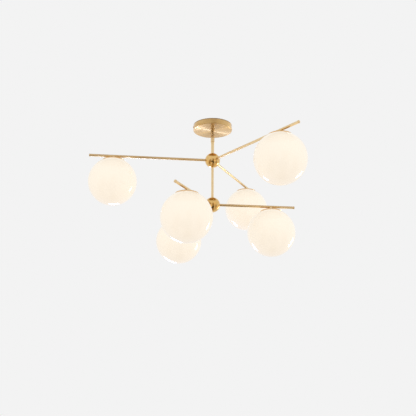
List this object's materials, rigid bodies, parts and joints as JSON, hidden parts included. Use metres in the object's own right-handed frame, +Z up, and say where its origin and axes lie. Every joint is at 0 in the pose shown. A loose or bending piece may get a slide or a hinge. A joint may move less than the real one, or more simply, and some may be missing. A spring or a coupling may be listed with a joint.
{
  "type": "branch chandelier",
  "caption": "Ceiling light with tiers of level brass tubes round ball hubs on a stem, each tube holding an opal glass globe under a shallow cap.",
  "frame": {"origin": "centre of the canopy's rim, in the plane of the ceiling", "axes": "+Z up along the stem; +X along the crossbar, over the right lower arm; the near arms point to -Y"},
  "size_m": [0.6576, 0.6992, 0.4307],
  "materials": {
    "brushed_brass": "satin, finely brushed",
    "polished_brass": "polished",
    "zinc_steel": "zinc plated",
    "opal_glass": "glossy white opal, lit from inside",
    "bulb_glass": "frosted",
    "porcelain": "glazed",
    "core_insulation": "matt",
    "lead_sheath": "matt, clear gold",
    "joint_block_plastic": "matt",
    "wire_nut_plastic": "matt"
  },
  "bodies": {
    "ceiling_mount": {"mounting_crossbar": "zinc_steel", "canopy": "brushed_brass", "canopy_side_screws": "brushed_brass", "earth_screw": "zinc_steel", "canopy_leads": "core_insulation", "wire_nuts": "wire_nut_plastic"},
    "swivel": {"swivel_top": "brushed_brass", "swivel_washer": "zinc_steel", "swivel_locknut": "zinc_steel"},
    "frame": {"swivel_bottom": "brushed_brass", "swivel_pin": "zinc_steel", "swivel_leads": "core_insulation", "stem_coupler": "brushed_brass", "upper_stem": "brushed_brass", "lower_stem": "brushed_brass", "upper_hub": "polished_brass", "lower_hub": "polished_brass", "upper_hub_door": "polished_brass", "lower_hub_door": "polished_brass", "hub_joint_blocks": "joint_block_plastic", "stem_leads": "core_insulation", "upper_arm_leads": "lead_sheath", "lower_arm_leads": "lead_sheath", "arm_end_plugs": "brushed_brass", "cap_posts": "brushed_brass", "globe_collars": "brushed_brass", "cap_nuts": "zinc_steel", "arm_left": "brushed_brass", "shade_cap_left": "brushed_brass", "socket_left": "porcelain", "arm_near_right": "brushed_brass", "shade_cap_near_right": "brushed_brass", "socket_near_right": "porcelain", "arm_far_right": "brushed_brass", "shade_cap_far_right": "brushed_brass", "socket_far_right": "porcelain", "arm_right": "brushed_brass", "shade_cap_right": "brushed_brass", "socket_right": "porcelain", "arm_near_left": "brushed_brass", "shade_cap_near_left": "brushed_brass", "socket_near_left": "porcelain", "arm_far_left": "brushed_brass", "shade_cap_far_left": "brushed_brass", "socket_far_left": "porcelain"},
    "left_bulb": {"bulb_left": "bulb_glass"},
    "left_globe": {"globe_left": "opal_glass"},
    "near_right_bulb": {"bulb_near_right": "bulb_glass"},
    "near_right_globe": {"globe_near_right": "opal_glass"},
    "far_right_bulb": {"bulb_far_right": "bulb_glass"},
    "far_right_globe": {"globe_far_right": "opal_glass"},
    "right_bulb": {"bulb_right": "bulb_glass"},
    "right_globe": {"globe_right": "opal_glass"},
    "near_left_bulb": {"bulb_near_left": "bulb_glass"},
    "near_left_globe": {"globe_near_left": "opal_glass"},
    "far_left_bulb": {"bulb_far_left": "bulb_glass"},
    "far_left_globe": {"globe_far_left": "opal_glass"}
  },
  "joints": [
    {"name": "swivel_turn", "type": "hinge", "parent": "ceiling_mount", "child": "swivel", "pos_m": [0, 0, -0.0183], "axis": [0, 0, 1], "range_deg": [-170, 170], "deforming": ["canopy_leads"]},
    {"name": "swivel_tilt", "type": "hinge", "parent": "swivel", "child": "frame", "pos_m": [0, 0, -0.0273], "axis": [1, 0, 0], "range_deg": [-18, 18], "deforming": ["swivel_leads"]},
    {"name": "left_bulb_pull", "type": "slide", "parent": "frame", "child": "left_bulb", "axis": [0, 0, -1], "range_m": [0, 0.02]},
    {"name": "left_globe_drop", "type": "slide", "parent": "frame", "child": "left_globe", "axis": [0, 0, -1], "range_m": [0, 0.1]},
    {"name": "near_right_bulb_pull", "type": "slide", "parent": "frame", "child": "near_right_bulb", "axis": [0, 0, -1], "range_m": [0, 0.02]},
    {"name": "near_right_globe_drop", "type": "slide", "parent": "frame", "child": "near_right_globe", "axis": [0, 0, -1], "range_m": [0, 0.1]},
    {"name": "far_right_bulb_pull", "type": "slide", "parent": "frame", "child": "far_right_bulb", "axis": [0, 0, -1], "range_m": [0, 0.02]},
    {"name": "far_right_globe_drop", "type": "slide", "parent": "frame", "child": "far_right_globe", "axis": [0, 0, -1], "range_m": [0, 0.1]},
    {"name": "right_bulb_pull", "type": "slide", "parent": "frame", "child": "right_bulb", "axis": [0, 0, -1], "range_m": [0, 0.02]},
    {"name": "right_globe_drop", "type": "slide", "parent": "frame", "child": "right_globe", "axis": [0, 0, -1], "range_m": [0, 0.1]},
    {"name": "near_left_bulb_pull", "type": "slide", "parent": "frame", "child": "near_left_bulb", "axis": [0, 0, -1], "range_m": [0, 0.02]},
    {"name": "near_left_globe_drop", "type": "slide", "parent": "frame", "child": "near_left_globe", "axis": [0, 0, -1], "range_m": [0, 0.1]},
    {"name": "far_left_bulb_pull", "type": "slide", "parent": "frame", "child": "far_left_bulb", "axis": [0, 0, -1], "range_m": [0, 0.02]},
    {"name": "far_left_globe_drop", "type": "slide", "parent": "frame", "child": "far_left_globe", "axis": [0, 0, -1], "range_m": [0, 0.1]}
  ]
}
